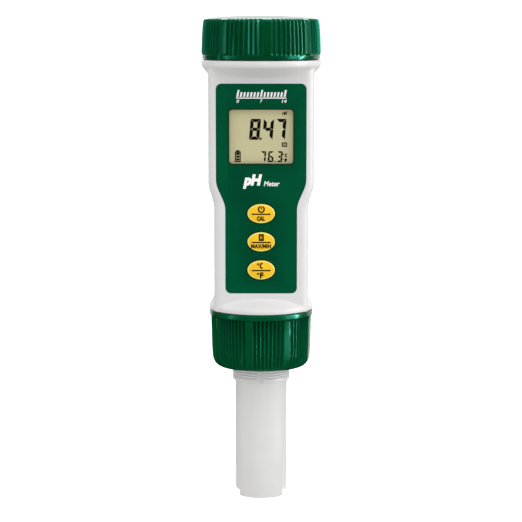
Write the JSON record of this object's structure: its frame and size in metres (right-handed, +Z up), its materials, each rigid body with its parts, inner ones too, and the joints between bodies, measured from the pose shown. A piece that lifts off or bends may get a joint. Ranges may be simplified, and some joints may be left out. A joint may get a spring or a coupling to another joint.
{
  "type": "pen-style pH tester",
  "caption": "Pen-style pH tester: white waisted housing, green ribbed screw cap and collar, display and keypad overlay, plug-in flat-ended electrode.",
  "frame": {"origin": "on the meter's axis, in the plane of the electrode's lower end", "axes": "+Z up the meter's axis from the electrode to the battery cap, -Y out of the display, +X to the right of someone who looks at the display"},
  "size_m": [0.041, 0.041, 0.1669],
  "materials": {
    "white_plastic": "satin white ABS",
    "green_plastic": "glossy dark green ABS",
    "green_overlay": "matte dark green printed film",
    "yellow_key": "matte yellow rubber-like plastic",
    "clear_lens": "clear polycarbonate",
    "display_glass": "grey-green reflective display",
    "black_plastic": "matte black",
    "black_rubber": "matte black rubber",
    "grey_rubber": "matte grey rubber",
    "circuit_board": "green solder mask",
    "steel": "plain steel",
    "gold_contact": "gold-plated contact",
    "polyimide": "amber polyimide film",
    "sensor_glass": "clear sensor glass",
    "ceramic": "porous off-white ceramic",
    "natural_plastic": "matte light grey plastic"
  },
  "bodies": {
    "housing": {"housing": "white_plastic", "keypad_overlay": "green_overlay", "display_lens": "clear_lens", "display_cell": "display_glass", "display_frame": "black_plastic", "contact_strip_lower": "grey_rubber", "contact_strip_upper": "grey_rubber", "keypad_seal": "grey_rubber", "power_switch": "steel", "hold_switch": "steel", "unit_switch": "steel", "circuit_board": "circuit_board", "microcontroller": "black_plastic", "electrode_amplifier": "black_plastic", "clock_crystal": "steel", "electrode_socket": "black_plastic", "socket_pin_1": "gold_contact", "socket_pin_2": "gold_contact", "socket_pin_3": "gold_contact", "socket_pin_4": "gold_contact", "flat_lead": "polyimide", "battery_bay": "black_plastic", "bay_screw_left": "steel", "bay_screw_right": "steel", "battery_spring": "steel", "battery_contact": "gold_contact", "cap_o_ring": "black_rubber", "collar_o_ring": "black_rubber"},
    "battery_holder": {"battery_holder": "natural_plastic", "button_cell_1": "steel", "button_cell_2": "steel", "button_cell_3": "steel", "button_cell_4": "steel", "holder_contact": "gold_contact"},
    "cap_seal": {"cap_seal": "black_rubber"},
    "battery_cap": {"battery_cap": "green_plastic"},
    "electrode": {"electrode_barrel": "white_plastic", "electrode_plug": "black_plastic", "electrode_gasket": "black_rubber", "sensor_disc": "natural_plastic", "glass_membrane_tube": "sensor_glass", "silver_wire": "steel", "reference_junction": "ceramic", "reference_wire": "steel", "temperature_probe": "steel", "temperature_lead": "polyimide"},
    "electrode_collar": {"electrode_collar": "green_plastic"},
    "power_key": {"power_key": "yellow_key", "power_switch_plunger": "black_plastic"},
    "hold_key": {"hold_key": "yellow_key", "hold_switch_plunger": "black_plastic"},
    "unit_key": {"unit_key": "yellow_key", "unit_switch_plunger": "black_plastic"}
  },
  "joints": [
    {"name": "cap_lift", "type": "slide", "parent": "housing", "child": "cap_seal", "axis": [0, 0, 1], "range_m": [0, 0.024]},
    {"name": "cap_turn", "type": "hinge", "parent": "cap_seal", "child": "battery_cap", "pos_m": [0, 0, 0.152], "axis": [0, 0, 1], "range_deg": [0, 1440]},
    {"name": "holder_slide", "type": "slide", "parent": "housing", "child": "battery_holder", "axis": [0, 0, 1], "range_m": [0, 0.018]},
    {"name": "electrode_pull", "type": "slide", "parent": "housing", "child": "electrode", "axis": [0, 0, -1], "range_m": [0, 0.024]},
    {"name": "collar_turn", "type": "hinge", "parent": "electrode", "child": "electrode_collar", "pos_m": [0, 0, 0.056], "axis": [0, 0, -1], "range_deg": [0, 1440]},
    {"name": "power_key_press", "type": "slide", "parent": "housing", "child": "power_key", "axis": [0, 1, 0], "range_m": [0, 0.0004], "stiffness_N_per_m": 400},
    {"name": "hold_key_press", "type": "slide", "parent": "housing", "child": "hold_key", "axis": [0, 1, 0], "range_m": [0, 0.0004], "stiffness_N_per_m": 400},
    {"name": "unit_key_press", "type": "slide", "parent": "housing", "child": "unit_key", "axis": [0, 1, 0], "range_m": [0, 0.0004], "stiffness_N_per_m": 400}
  ],
  "couplings": [
    {"joint": "cap_lift", "follows": "cap_turn", "m_per_rad": 0.00095492},
    {"joint": "holder_slide", "follows": "cap_turn", "m_per_rad": 0.00071619},
    {"joint": "electrode_pull", "follows": "collar_turn", "m_per_rad": 0.00095492}
  ]
}
